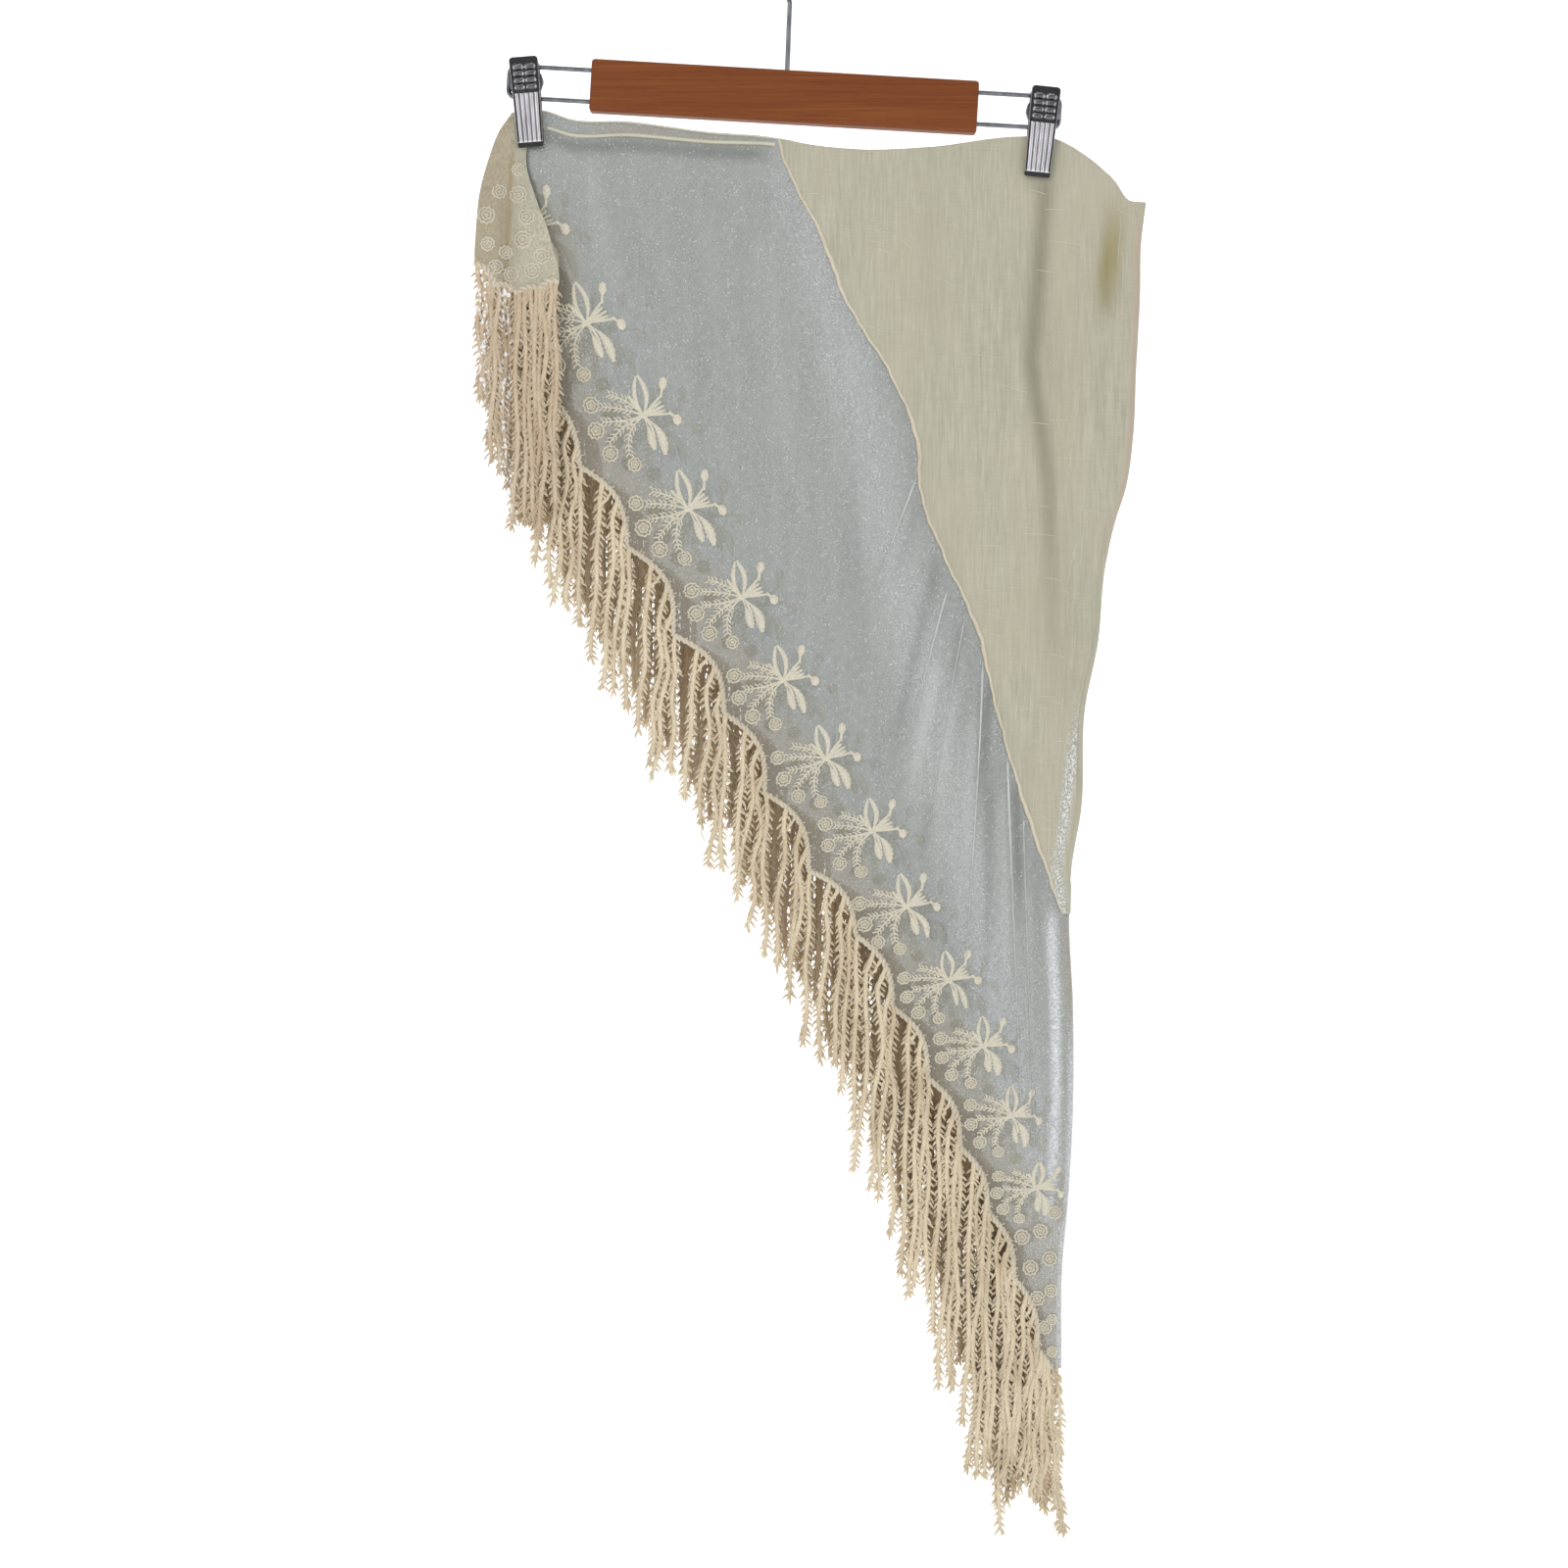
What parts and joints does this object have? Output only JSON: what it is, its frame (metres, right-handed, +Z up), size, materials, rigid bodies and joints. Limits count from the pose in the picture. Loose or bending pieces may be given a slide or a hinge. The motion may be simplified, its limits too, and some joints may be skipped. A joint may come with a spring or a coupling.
{
  "type": "triangle scarf on clip hanger",
  "caption": "Triangle scarf of net and woven cloth, folded in half, with a scalloped fringed hem, hung by its long edge from the clips of a wooden hanger",
  "frame": {"origin": "top of the rail space inside the hook, where the hanger rests on a rail", "axes": "+Z up, +X to the right in the front view, -Y towards the viewer, across the cloth"},
  "size_m": [0.4386, 0.0354, 1.0621],
  "materials": {
    "wood": "satin varnish",
    "steel": "plated wire",
    "chrome": "pressed and plated",
    "rubber": "matt",
    "woven": "slub weave",
    "net": "fine glittering net",
    "yarn": "soft cotton yarn"
  },
  "bodies": {
    "root": {"hanger_bar": "wood", "hanger_hook": "steel", "wire_left": "steel", "wire_right": "steel", "clip_left_core": "chrome", "clip_left_jaw_front": "chrome", "clip_left_jaw_back": "chrome", "clip_left_pad_front": "rubber", "clip_left_pad_back": "rubber", "clip_right_core": "chrome", "clip_right_jaw_front": "chrome", "clip_right_jaw_back": "chrome", "clip_right_pad_front": "rubber", "clip_right_pad_back": "rubber", "woven_panel": "woven", "net_panel": "net", "end_front": "net", "end_back": "net", "fringe_front": "yarn", "fringe_back": "yarn", "fringe_end_front": "yarn", "fringe_end_back": "yarn"}
  },
  "joints": []
}
